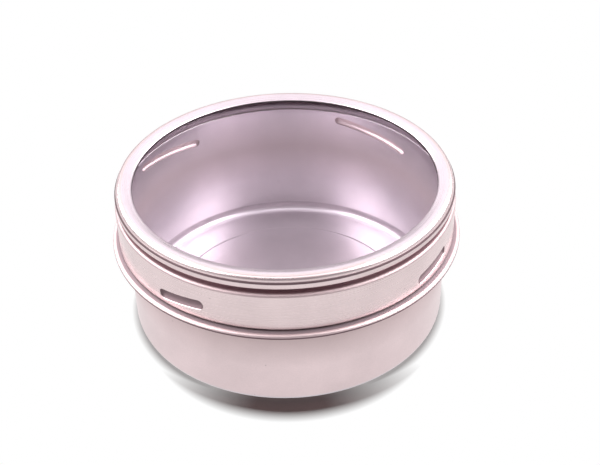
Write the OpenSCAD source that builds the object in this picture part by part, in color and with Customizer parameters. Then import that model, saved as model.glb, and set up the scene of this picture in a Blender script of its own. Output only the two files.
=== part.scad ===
// Round tinplate tin with a twist-off lid that has a clear window.
// Every metal piece is one pressed sheet: its section is a bent strip, turned round the axis.
// Millimetres, +Z up, front towards -Y, origin on the table under the middle of the base.

/* [Tin body] */
// Outside radius of the cup's wall, which is also the neck's
wall_radius = 31.2; // [31:0.1:31.2]
// Thickness of the tinplate that the cup is drawn from
body_sheet = 0.3; // [0.25:0.05:0.35]
// Height of the neck's top edge
neck_top = 26.5; // [26.2:0.1:26.6]
// Outside radius of the folded bead that the lid comes down to
bead_radius = 34; // [33.5:0.1:35]
// Height of the bead's upper face
bead_top = 18.7; // [18:0.1:18.8]
// Thickness of the bead
bead_thickness = 1; // [0.8:0.1:1.4]

/* [Base] */
// Outside radius of the bend between the wall and the base
corner_radius = 2; // [1.4:0.1:4]
// Radius of the base's middle panel
panel_radius = 22.9; // [15:0.1:25]
// How far the middle panel is pushed up, so that the tin stands on the ring round it
panel_rise = 0.25; // [0.2:0.05:0.5]

/* [Lid] */
// Outside radius of the lid's skirt
lid_radius = 32.7; // [32.7:0.1:33]
// Thickness of the tinplate that the lid is pressed from
lid_sheet = 0.35; // [0.3:0.05:0.4]
// Height of the skirt's lower edge with the lid on
skirt_bottom = 19.1; // [19:0.1:19.6]
// Height of the crown of the ring round the window
lid_top = 30.1; // [30:0.1:30.5]
// Radius of the opening that the window shows in
opening_radius = 29.15; // [27.5:0.05:29.8]
// Height of the middle of the groove that holds the window up
groove_height = 27.2; // [27.2:0.1:27.4]
// Depth of that groove in the skirt
groove_depth = 1.5; // [1.4:0.05:1.6]

/* [Window] */
// Thickness of the clear disc
window_thickness = 1; // [0.6:0.1:1]
// Radius of the clear disc
window_radius = 31.7; // [31.5:0.1:31.8]

/* [Twist lock] */
// Number of lugs on the lid, and of ribs on the neck
lugs = 4; // [3:1:4]
// Rise of the ribs and lugs in one whole turn
pitch = 26; // [20:1:27]
// Length of each rib on the neck, in degrees round the tin
rib_span = 30; // [20:1:36]
// Length of each lug in the skirt, in degrees round the lid
lug_span = 14; // [10:1:18]
// Height of the middle of each rib
rib_height = 23.5; // [23.2:0.1:23.8]
// Height of the middle of each lug with the lid on
lug_height = 21.5; // [21:0.1:21.6]
// Direction of the first rib's middle, seen from above
rib_turn = 53; // [0:1:90]
// Direction of the first lug's middle, seen from above
lug_turn = 55; // [0:1:90]

/* [Hidden] */
$fn = 96;
// Radius that the ribs stand out to, and that the lugs reach in to
rib_reach = wall_radius + 0.8;
lug_reach = lid_radius - 1;
// Radii of the round sections that press them: the hollow's, then the sheet's thickness more
rib_hollow = 0.85;
lug_hollow = 1.15;

// Direction of a vector in the section's plane.
function heading(v) = atan2(v[1], v[0]);

// Angle turned at corner i of a path, from -180 to 180.
function turn(p, i) = let (a = heading(p[i + 1] - p[i]) - heading(p[i] - p[i - 1]))
    a > 180 ? a - 360 : a < -180 ? a + 360 : a;

// Length that corner i takes from each straight beside it.
function cut(p, r, i) = i == 0 || i == len(p) - 1 ? 0 : r[i] * tan(abs(turn(p, i)) / 2);

// Points along an arc round c, from direction a to direction b, at most step degrees apart.
function arc(c, radius, a, b, step = 6) = let (n = max(2, ceil(abs(b - a) / step)))
    [for (k = [0 : n]) let (d = a + (b - a) * k / n) c + radius * [cos(d), sin(d)]];

// One side of a sheet of thickness t along the path p, with bend radius r[i] at its middle line.
// side is 1 for the left of the way the path goes, and -1 for its right.
function flank(p, r, t, side) = [
    for (i = [0 : len(p) - 1])
        let (
            d = i == 0 ? heading(p[1] - p[0]) : heading(p[i] - p[i - 1]),
            left = [-sin(d), cos(d)],
            bend = i == 0 || i == len(p) - 1 ? 0 : turn(p, i),
            w = bend > 0 ? 1 : -1,
            c = p[i] - cut(p, r, i) * [cos(d), sin(d)] + w * r[i] * left
        )
        each bend == 0
            ? [p[i] + side * t / 2 * left]
            : arc(c, r[i] - side * w * t / 2, d - 90 * w, d - 90 * w + bend)
];

// The points of a list in the other order.
function reversed(list) = [for (i = [len(list) - 1 : -1 : 0]) list[i]];

// The round of the sheet's free edge at p, where the path goes in direction d.
function edge(p, t, d) = let (round = arc(p, t / 2, d + 90, d - 90, 15))
    [for (i = [1 : len(round) - 2]) round[i]];

// Section of a bent sheet. Its first and last edges are rounded where those words say so.
module strip(p, r, t, first_round = false, last_round = true) {
    last = len(p) - 1;
    polygon(concat(
        flank(p, r, t, 1),
        last_round ? edge(p[last], t, heading(p[last] - p[last - 1])) : [],
        reversed(flank(p, r, t, -1)),
        first_round ? edge(p[0], t, heading(p[0] - p[1])) : []
    ));
}

// A round bar of the given section radius, bent round the axis and rising like a thread.
module helical_bar(radius, section, span) {
    rotate([atan(pitch / (2 * PI * radius)), 0, 0]) {
        rotate([0, 0, -span / 2])
            rotate_extrude(angle = span)
                translate([radius, 0])
                    circle(r = section);
        for (a = [-span / 2, span / 2])
            rotate([0, 0, a])
                translate([radius, 0, 0])
                    sphere(r = section);
    }
}

// Its copies round the tin.
module round_the_tin(first, height) {
    for (i = [0 : lugs - 1])
        rotate([0, 0, first + i * 360 / lugs])
            translate([0, 0, height])
                children();
}

// The drawn cup: panel, base, wall and neck are one sheet.
module body_section() {
    t = body_sheet;
    wall = wall_radius - t / 2;
    strip(
        [
            [0, panel_rise + t / 2],
            [panel_radius, panel_rise + t / 2],
            [panel_radius + 0.6, t / 2],
            [wall, t / 2],
            [wall, neck_top - t / 2]
        ],
        [0, 0.5, 0.5, corner_radius - t / 2, 0],
        t
    );
    translate([wall, bead_top - bead_thickness])
        square([bead_radius - bead_thickness / 2 - wall, bead_thickness]);
    translate([bead_radius - bead_thickness / 2, bead_top - bead_thickness / 2])
        circle(d = bead_thickness);
}

module tin_body() {
    centre = rib_reach - rib_hollow - body_sheet;
    color("#c9c2c4")
        difference() {
            union() {
                rotate_extrude() body_section();
                difference() {
                    round_the_tin(rib_turn, rib_height)
                        helical_bar(centre, rib_hollow + body_sheet, rib_span);
                    cylinder(r = wall_radius - body_sheet / 2, h = 40);
                }
            }
            round_the_tin(rib_turn, rib_height)
                helical_bar(centre, rib_hollow, rib_span);
        }
}

// The pressed lid: skirt, groove, ridge, crowned ring and turned-in lip are one sheet.
module lid_section() {
    t = lid_sheet;
    skirt = lid_radius - t / 2;
    ridge = lid_radius - 0.2 - t / 2;
    crown = lid_radius - 0.5 - t / 2;
    lip = opening_radius + t / 2;
    u = 0.5 + t / 2;
    floor_of_groove = lid_radius - groove_depth - t / 2;
    strip(
        [
            [skirt, skirt_bottom + t / 2],
            [skirt, groove_height - u],
            [floor_of_groove, groove_height - u],
            [floor_of_groove, groove_height + u],
            [ridge, groove_height + u],
            [ridge, lid_top - 1.25],
            [crown, lid_top - 0.95],
            [crown, lid_top - 0.225],
            [crown - 1.275, lid_top - 0.16],
            [lip, lid_top - 0.53],
            [lip, groove_height + 1.97]
        ],
        [0, 0.3, u - 0.02, u - 0.02, 0.3, 0.2, 0.2, 0.65, 2.5, 0.3, 0],
        t,
        first_round = true,
        last_round = false
    );
}

module lid_shell() {
    centre = lug_reach + lug_hollow + lid_sheet;
    color("#d6ced0")
        difference() {
            union() {
                rotate_extrude() lid_section();
                intersection() {
                    round_the_tin(lug_turn, lug_height)
                        helical_bar(centre, lug_hollow + lid_sheet, lug_span);
                    cylinder(r = lid_radius - lid_sheet / 2, h = 40);
                }
            }
            round_the_tin(lug_turn, lug_height)
                helical_bar(centre, lug_hollow, lug_span);
        }
}

// The clear disc lies on the groove, under the crowned ring.
module window() {
    low = groove_height + 0.9;
    high = low + window_thickness;
    ease = 0.15;
    color("#d8e4e8", 0.4)
        rotate_extrude()
            polygon([
                [0, low],
                [window_radius - ease, low],
                [window_radius, low + ease],
                [window_radius, high - ease],
                [window_radius - ease, high],
                [0, high]
            ]);
}

tin_body();
lid_shell();
window();
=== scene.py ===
import math

import bmesh
import bpy
from mathutils import Matrix, Vector


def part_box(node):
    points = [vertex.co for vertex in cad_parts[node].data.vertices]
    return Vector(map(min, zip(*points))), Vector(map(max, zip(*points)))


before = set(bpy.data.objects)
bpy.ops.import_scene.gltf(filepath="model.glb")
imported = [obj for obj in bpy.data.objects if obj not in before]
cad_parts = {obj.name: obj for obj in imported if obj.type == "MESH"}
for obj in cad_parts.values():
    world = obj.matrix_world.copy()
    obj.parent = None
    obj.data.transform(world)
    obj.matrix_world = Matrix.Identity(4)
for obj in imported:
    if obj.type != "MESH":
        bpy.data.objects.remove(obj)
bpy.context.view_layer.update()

# Camera

# It looks down at the tin from the front, turned a little on its own axis. Its numbers come
# from circles fitted to the tin's rings, and it aims near the middle of the stop bead.

mm = 0.001
elevation = math.radians(36.23)
roll = math.radians(-1.47)
aim = Vector((0, 0, 18.5 * mm))
offset_in_view = Vector((2.7 * mm, -2.04 * mm, 207.65 * mm))

camera_data = bpy.data.cameras.new("camera")
camera_data.lens = 63
camera_data.sensor_width = 36
camera_data.sensor_fit = "HORIZONTAL"
camera_data.clip_start = 10 * mm
camera = bpy.data.objects.new("camera", camera_data)
bpy.context.scene.collection.objects.link(camera)
turned = Matrix.Rotation(math.pi / 2 - elevation, 4, "X") @ Matrix.Rotation(roll, 4, "Z")
camera.matrix_world = Matrix.Translation(aim + turned @ offset_in_view) @ turned
bpy.context.scene.camera = camera
bpy.context.scene.view_settings.view_transform = "Standard"

# Cup

# The cup is drawn from one sheet of tin-plated steel, with a stop bead folded round its wall and
# four ribs pressed out above the bead. Outside it has the tin's warm satin, and inside it is
# cooler in colour and softer. Shade is painted round the bead, down the wall under it and in the
# corner of the base inside.


def linear(code):
    """The linear colour of an sRGB hex code."""
    parts = [int(code[i : i + 2], 16) / 255 for i in (0, 2, 4)]
    return [p / 12.92 if p <= 0.04045 else ((p + 0.055) / 1.055) ** 2.4 for p in parts] + [1]


def add(material, kind, links=(), **settings):
    """Adds a node. links are (input, socket or value); settings are the node's own.

    A Mix node's inputs share their names, so they go by number: 0 is its factor, 2 and 3 are two
    numbers, whose mix is output 0, and 6 and 7 are two colours, whose mix is output 2.
    """
    made = material.node_tree.nodes.new(kind)
    for name, value in settings.items():
        setattr(made, name, value)
    for name, value in dict(links).items():
        if isinstance(value, bpy.types.NodeSocket):
            material.node_tree.links.new(value, made.inputs[name])
        else:
            made.inputs[name].default_value = value
    return made


def new_material(name):
    """An empty node material."""
    made = bpy.data.materials.new(name)
    made.use_nodes = True
    made.node_tree.nodes.clear()
    return made


def band(material, value, low, high, soft):
    """1 where value lies from low to high, and 0 from soft beyond them."""
    rise = add(material, "ShaderNodeMapRange",
               [("Value", value), ("From Min", low - soft), ("From Max", low)])
    fall = add(material, "ShaderNodeMapRange",
               [("Value", value), ("From Min", high + soft), ("From Max", high)])
    return add(material, "ShaderNodeMath", [(0, rise.outputs[0]), (1, fall.outputs[0])],
               operation="MULTIPLY").outputs[0]


def tinplate(name, outside, inside, split, rough_outside, rough_inside, painted_shades):
    """Satin tin-plated steel. Nearer the axis than split, it has its inside colour and roughness.

    The plate mirrors most of the light softly, and its dull skin of tin scatters the rest, so it
    looks pale and silky. The drawing marks pull its highlights out a little. Each entry of the
    last argument is a ring of painted shade, where the plate is made darker and duller from z[0]
    to z[1] and from radius[0] to radius[1], fading out over soft. The share says how much darker.
    """
    made = new_material(name)
    place = add(made, "ShaderNodeTexCoord").outputs["Object"]
    xyz = add(made, "ShaderNodeSeparateXYZ", [("Vector", place)]).outputs
    flat = add(made, "ShaderNodeCombineXYZ", [("X", xyz["X"]), ("Y", xyz["Y"])]).outputs[0]
    radius = add(made, "ShaderNodeVectorMath", [(0, flat)], operation="LENGTH").outputs["Value"]
    blend = 0.1 * mm
    is_outside = add(made, "ShaderNodeMapRange",
                     [("Value", radius), ("From Min", split - blend),
                      ("From Max", split + blend)]).outputs[0]

    # Drawing marks run round the tin. Real ones are a few hundredths of a millimetre apart. They
    # are too fine to show, so these are drawn coarser.
    mark_spacing = 0.12 * mm
    mark_length = 25 * mm
    section = add(made, "ShaderNodeMath", [(0, radius), (1, xyz["Z"])], operation="ADD").outputs[0]
    across = add(made, "ShaderNodeMath", [(0, section), (1, 1 / mark_spacing)],
                 operation="MULTIPLY").outputs[0]
    step = add(made, "ShaderNodeCombineXYZ", [("Z", across)]).outputs[0]
    drawn = add(made, "ShaderNodeVectorMath",
                [(0, flat), (1, (1 / mark_length, 1 / mark_length, 0)), (2, step)],
                operation="MULTIPLY_ADD").outputs[0]
    marks = add(made, "ShaderNodeTexNoise",
                [("Vector", drawn), ("Scale", 1), ("Detail", 3), ("Roughness", 0.6)])

    # Soft clouds in the plating and a fine grain make the colour a little lighter or darker.
    # Noise lies mostly between these two values.
    noise_low = 0.3
    noise_high = 0.7
    colour = add(made, "ShaderNodeMix",
                 [(0, is_outside), (6, linear(inside)), (7, linear(outside))],
                 data_type="RGBA").outputs[2]
    clouds = dict(size=8.33 * mm, detail=3, roughness=0.55, change=0.05)
    grain = dict(size=0.303 * mm, detail=2, roughness=0.5, change=0.02)
    for pattern in (clouds, grain):
        noise = add(made, "ShaderNodeTexNoise",
                    [("Vector", place), ("Scale", 1 / pattern["size"]),
                     ("Detail", pattern["detail"]), ("Roughness", pattern["roughness"])])
        tone = add(made, "ShaderNodeMapRange",
                   [("Value", noise.outputs["Fac"]), ("From Min", noise_low),
                    ("From Max", noise_high), ("To Min", 1 - pattern["change"]),
                    ("To Max", 1 + pattern["change"])])
        colour = add(made, "ShaderNodeVectorMath", [(0, colour), ("Scale", tone.outputs[0])],
                     operation="SCALE").outputs[0]

    # A few faint specks of dirt. The pattern's distances are in its own spacing.
    speck_spacing = 3.85 * mm
    speck_radius = 0.19 * mm / speck_spacing
    speck_share = 0.35
    specks = add(made, "ShaderNodeTexVoronoi", [("Vector", place), ("Scale", 1 / speck_spacing)])
    speck = add(made, "ShaderNodeMapRange",
                [("Value", specks.outputs["Distance"]), ("From Min", speck_radius),
                 ("From Max", speck_radius / 2), ("To Max", speck_share)])
    colour = add(made, "ShaderNodeMix",
                 [(0, speck.outputs[0]), (6, colour), (7, linear("6E6468"))],
                 data_type="RGBA").outputs[2]

    # The marks make the shine uneven, and a ring of painted shade has hardly any.
    rough_change = 0.015
    dull = 0.75
    rough = add(made, "ShaderNodeMapRange",
                [("Value", is_outside), ("To Min", rough_inside), ("To Max", rough_outside)])
    uneven = add(made, "ShaderNodeMapRange",
                 [("Value", marks.outputs["Fac"]), ("From Min", noise_low),
                  ("From Max", noise_high), ("To Min", -rough_change), ("To Max", rough_change)])
    rough = add(made, "ShaderNodeMath", [(0, rough.outputs[0]), (1, uneven.outputs[0])],
                operation="ADD").outputs[0]
    # Rings of painted shade: each mixes in its dark colour and a dull shine by its share.
    for shade_ring in painted_shades:
        in_height = band(made, xyz["Z"], *shade_ring["z"], shade_ring["soft"])
        in_radius = band(made, radius, *shade_ring["radius"], shade_ring["soft"])
        within = add(made, "ShaderNodeMath", [(0, in_height), (1, in_radius)],
                     operation="MULTIPLY")
        share = add(made, "ShaderNodeMath", [(0, within.outputs[0]), (1, shade_ring["share"])],
                    operation="MULTIPLY").outputs[0]
        colour = add(made, "ShaderNodeMix", [(0, share), (6, colour), (7, linear(shade_ring["colour"]))],
                     data_type="RGBA").outputs[2]
        rough = add(made, "ShaderNodeMix", [(0, share), (2, rough), (3, dull)]).outputs[0]

    bump = add(made, "ShaderNodeBump",
               [("Height", marks.outputs["Fac"]), ("Strength", 0.008), ("Distance", 0.02 * mm)])
    round_the_axis = add(made, "ShaderNodeTangent", direction_type="RADIAL", axis="Z")
    shader = add(made, "ShaderNodeBsdfPrincipled",
                 [("Base Color", colour), ("Metallic", 0.8), ("Roughness", rough),
                  ("Normal", bump.outputs[0]), ("Anisotropic", 0.3),
                  ("Anisotropic Rotation", 0.25), ("Tangent", round_the_axis.outputs[0])])
    add(made, "ShaderNodeOutputMaterial", [("Surface", shader.outputs[0])])
    return made


# The boxes come from meshes of round pieces, so their numbers are rounded to 0.1 mm.
decimals = 4
cup_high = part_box("tin_body")[1]
lid_low, lid_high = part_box("lid_shell")
skirt_low = round(lid_low.z, decimals)
bead_edge = round(cup_high.x, decimals)
bead_high = skirt_low - 0.4 * mm
bead_low = bead_high - 1 * mm
wall_outside = 31.2 * mm
wall_inside = 30.9 * mm

# These rings are painted shade: on the lower face of the bead, down the wall beneath it, in the
# seam along its upper face under the lid's skirt, and along the line where the wall meets the base
# inside.
under_bead = dict(z=(bead_low - 0.1 * mm, bead_low + 0.55 * mm),
                  radius=(bead_edge - 1.5 * mm, bead_edge + 0.1 * mm),
                  soft=0.1 * mm, colour="6A5058", share=0.9)
# Painted shade of the bead, fading far down the wall below it.
below_bead = dict(z=(bead_low - 1 * mm, bead_low),
                  radius=(wall_outside - 0.2 * mm, wall_outside + 0.3 * mm),
                  soft=8 * mm, colour="B9A4A4", share=0.6)
# Painted shade in the gap between the bead's top and the lid's skirt.
bead_seam = dict(z=(bead_high - 0.1 * mm, bead_high + 0.2 * mm),
                 radius=(bead_edge - 1.5 * mm, bead_edge - 0.7 * mm),
                 soft=0.1 * mm, colour="665662", share=0.62)
# Painted shade in the inside corner at the wall's foot.
wall_foot = dict(z=(1.2 * mm, 2.2 * mm),
                 radius=(wall_inside - 0.5 * mm, wall_inside),
                 soft=0.2 * mm, colour="8F7B88", share=0.4)
cup_material = tinplate("satin_tinplate_cup", "E7D3D5", "E1DADF",
                        (wall_outside + wall_inside) / 2, 0.3, 0.33,
                        [below_bead, under_bead, bead_seam, wall_foot])
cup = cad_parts["tin_body"]
cup.data.materials.clear()
cup.data.materials.append(cup_material)

# Lid shell

# The lid is pressed from one sheet of the same plate: skirt, groove, ridge, crowned ring and a
# lip turned down round the opening. Its lugs are pressed in from outside. Shade is painted on the
# lip's edge, in the crease under the ring, in the groove and ridge inside and out, on the shoulder
# and in the lugs.

lid_top = round(lid_high.z, decimals)
lid_edge = round(lid_high.x, decimals)
groove = round(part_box("window")[0].z, decimals) - 0.9 * mm
opening = 29.15 * mm
# Each ring here is painted shade: the crease, the groove's floor, the groove and ridge seen from
# inside, the shoulder under the groove, the lip's edge and the lug recesses.
crease = dict(z=(lid_top - 1.2 * mm, lid_top - 0.95 * mm),
              radius=(lid_edge - 0.7 * mm, lid_edge),
              soft=0.1 * mm, colour="4A323A", share=0.92)
groove_floor = dict(z=(groove - 0.5 * mm, groove + 0.4 * mm),
                    radius=(lid_edge - 1.6 * mm, lid_edge - 0.5 * mm),
                    soft=0.1 * mm, colour="7A4C58", share=0.82)
inner_groove = dict(z=(groove - 0.6 * mm, groove + 0.6 * mm),
                    radius=(lid_edge - 2.1 * mm, lid_edge - 1.7 * mm),
                    soft=0.05 * mm, colour="6E5C6A", share=0.6)
inner_ridge = dict(z=(groove + 0.6 * mm, groove + 1.9 * mm),
                   radius=(lid_edge - 1.7 * mm, lid_edge - 0.5 * mm),
                   soft=0.1 * mm, colour="6E5C6A", share=0.6)
shoulder = dict(z=(groove - 0.95 * mm, groove - 0.5 * mm),
                radius=(lid_edge - 0.6 * mm, lid_edge),
                soft=0.1 * mm, colour="A68F93", share=0.6)
lip_edge = dict(z=(groove + 1.5 * mm, groove + 2.35 * mm),
                radius=(opening - 0.15 * mm, opening + 0.55 * mm),
                soft=0.1 * mm, colour="33242A", share=0.95)
lug_recess = dict(z=(skirt_low + 0.2 * mm, skirt_low + 4.9 * mm),
                  radius=(lid_edge - 1.3 * mm, lid_edge - 0.1 * mm),
                  soft=0.04 * mm, colour="6E585F", share=0.85)
lid_material = tinplate("satin_tinplate_lid", "E9D6D7", "E8DAE2",
                        lid_edge - 1.6 * mm, 0.28, 0.28,
                        [crease, groove_floor, inner_groove, inner_ridge, shoulder, lip_edge,
                         lug_recess])
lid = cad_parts["lid_shell"]
lid.data.materials.clear()
lid.data.materials.append(lid_material)

# Window

# The window is a loose disc of clear acrylic, cut from polished sheet. It lies on the shelf that
# the groove makes inside the lid, under the crowned ring. What is behind it shows nearly
# unchanged. Its shine grows with the fifth power of the slant, as on any clear sheet.

face_on_shine = 0.015
slant_power = 5
clear_sheet = new_material("clear_acrylic_sheet")
facing = add(clear_sheet, "ShaderNodeLayerWeight", [("Blend", 0.5)]).outputs["Facing"]
slant = add(clear_sheet, "ShaderNodeMath", [(0, facing), (1, slant_power)],
            operation="POWER").outputs[0]
skin = add(clear_sheet, "ShaderNodeMapRange", [("Value", slant), ("To Min", face_on_shine)])
through = add(clear_sheet, "ShaderNodeBsdfTransparent", [("Color", linear("FAF8FA"))])
shine = add(clear_sheet, "ShaderNodeBsdfGlossy", [("Roughness", 0.04)])
sheet = add(clear_sheet, "ShaderNodeMixShader",
            [("Fac", skin.outputs[0]), (1, through.outputs[0]), (2, shine.outputs[0])])
add(clear_sheet, "ShaderNodeOutputMaterial", [("Surface", sheet.outputs[0])])
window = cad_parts["window"]
window.data.materials.clear()
window.data.materials.append(clear_sheet)

# Floor

# The tin stands on white board. Past the tin's shadow the board is plain white to the camera, and
# the metal sees it nearly white all over. In a circle set forward, as far round as the Y of its
# direction says, and more faintly in a ring round the base, the board shows a dark paint lit by
# the
# lamps: a painted shadow that deepens the shadow that they cast.

floor_size = 3
floor_drop = 0.03 * mm
shadow_middle = (0.4 * mm, -7.4 * mm, 0)
shadow_full = 26 * mm
shadow_gone = 28.8 * mm
front_full = -0.98
front_gone = -0.66
rim_full = 30.8 * mm
rim_gone = 32.4 * mm
rim_white = 0.3
white_in_metal = 0.95

mesh = bmesh.new()
bmesh.ops.create_grid(mesh, x_segments=1, y_segments=1, size=floor_size)
bmesh.ops.translate(mesh, verts=mesh.verts, vec=(0, 0, -floor_drop))
floor_mesh = bpy.data.meshes.new("floor")
mesh.to_mesh(floor_mesh)
mesh.free()
floor = bpy.data.objects.new("floor", floor_mesh)
bpy.context.scene.collection.objects.link(floor)
white_board = new_material("white_board")
# Dark paint for a painted shadow, shown only where the board is not plain white.
shadow_paint = add(white_board, "ShaderNodeBsdfDiffuse", [("Color", linear("8C817E"))])
place = add(white_board, "ShaderNodeTexCoord").outputs["Object"]
far = add(white_board, "ShaderNodeVectorMath", [(0, place), (1, shadow_middle)],
          operation="DISTANCE")
outside = add(white_board, "ShaderNodeMapRange",
              [("Value", far.outputs["Value"]), ("From Min", shadow_full),
               ("From Max", shadow_gone)])
way = add(white_board, "ShaderNodeVectorMath", [(0, place)], operation="NORMALIZE").outputs[0]
front = add(white_board, "ShaderNodeSeparateXYZ", [("Vector", way)]).outputs["Y"]
beside = add(white_board, "ShaderNodeMapRange",
             [("Value", front), ("From Min", front_full), ("From Max", front_gone)])
past_front = add(white_board, "ShaderNodeMath",
                 [(0, outside.outputs[0]), (1, beside.outputs[0])], operation="MAXIMUM")
radius = add(white_board, "ShaderNodeVectorMath", [(0, place)], operation="LENGTH")
past_rim = add(white_board, "ShaderNodeMapRange",
               [("Value", radius.outputs["Value"]), ("From Min", rim_full),
                ("From Max", rim_gone), ("To Min", rim_white)])
away = add(white_board, "ShaderNodeMath",
           [(0, past_front.outputs[0]), (1, past_rim.outputs[0])], operation="MINIMUM")
path = add(white_board, "ShaderNodeLightPath")
shown = add(white_board, "ShaderNodeMath",
            [(0, path.outputs["Is Glossy Ray"]), (1, away.outputs[0])], operation="MAXIMUM")
level = add(white_board, "ShaderNodeMapRange",
            [("Value", path.outputs["Is Glossy Ray"]), ("To Min", 1),
             ("To Max", white_in_metal)])
glow = add(white_board, "ShaderNodeEmission",
           [("Color", linear("FFFFFF")), ("Strength", level.outputs[0])])
board = add(white_board, "ShaderNodeMixShader",
            [("Fac", shown.outputs[0]), (1, shadow_paint.outputs[0]), (2, glow.outputs[0])])
add(white_board, "ShaderNodeOutputMaterial", [("Surface", board.outputs[0])])
floor.data.materials.append(white_board)

# Light

# A dim tent, tinted a little towards lilac, surrounds the tin and is white to the camera. Large
# softboxes stand at both sides, with fainter ones above and behind. A small lamp overhead, a
# little behind the tin, throws the shadow forward.

tent_strength = 0.21
lamp_distance = 0.8
world = bpy.data.worlds.new("studio")
bpy.context.scene.world = world
world.use_nodes = True
world.node_tree.nodes.clear()
path = add(world, "ShaderNodeLightPath")
strength = add(world, "ShaderNodeMath",
               [(0, path.outputs["Is Camera Ray"]), (1, tent_strength)], operation="MAXIMUM")
tent = add(world, "ShaderNodeMix",
           [(0, path.outputs["Is Camera Ray"]), (6, linear("FFEFF9")), (7, linear("FFFFFF"))],
           data_type="RGBA")
sky = add(world, "ShaderNodeBackground",
          [("Color", tent.outputs[2]), ("Strength", strength.outputs[0])])
add(world, "ShaderNodeOutputWorld", [("Surface", sky.outputs[0])])


def softbox(name, azimuth, height, size, power):
    """A lamp that faces the tin, with its azimuth from +X and its height in degrees.

    Its size is in metres and its power in watts.
    """
    lamp = bpy.data.lights.new(name, "AREA")
    lamp.shape = "RECTANGLE"
    lamp.size, lamp.size_y = size
    lamp.energy = power
    made = bpy.data.objects.new(name, lamp)
    bpy.context.scene.collection.objects.link(made)
    a = math.radians(azimuth)
    h = math.radians(height)
    out = Vector((math.cos(h) * math.cos(a), math.cos(h) * math.sin(a), math.sin(h)))
    made.location = out * lamp_distance
    made.rotation_euler = out.to_track_quat("Z", "Y").to_euler()
    return made


softbox("softbox_left", 171, 42, (1.1, 0.55), 13.5).visible_diffuse = False
softbox("softbox_right", 9, 42, (1.1, 0.55), 14).visible_diffuse = False
softbox("softbox_top", -90, 78, (1.0, 0.5), 2.6).visible_diffuse = False
softbox("softbox_back", 90, 45, (1.4, 0.7), 3.2)
softbox("lamp_overhead", 95, 82, (0.1, 0.1), 4.5).visible_glossy = False
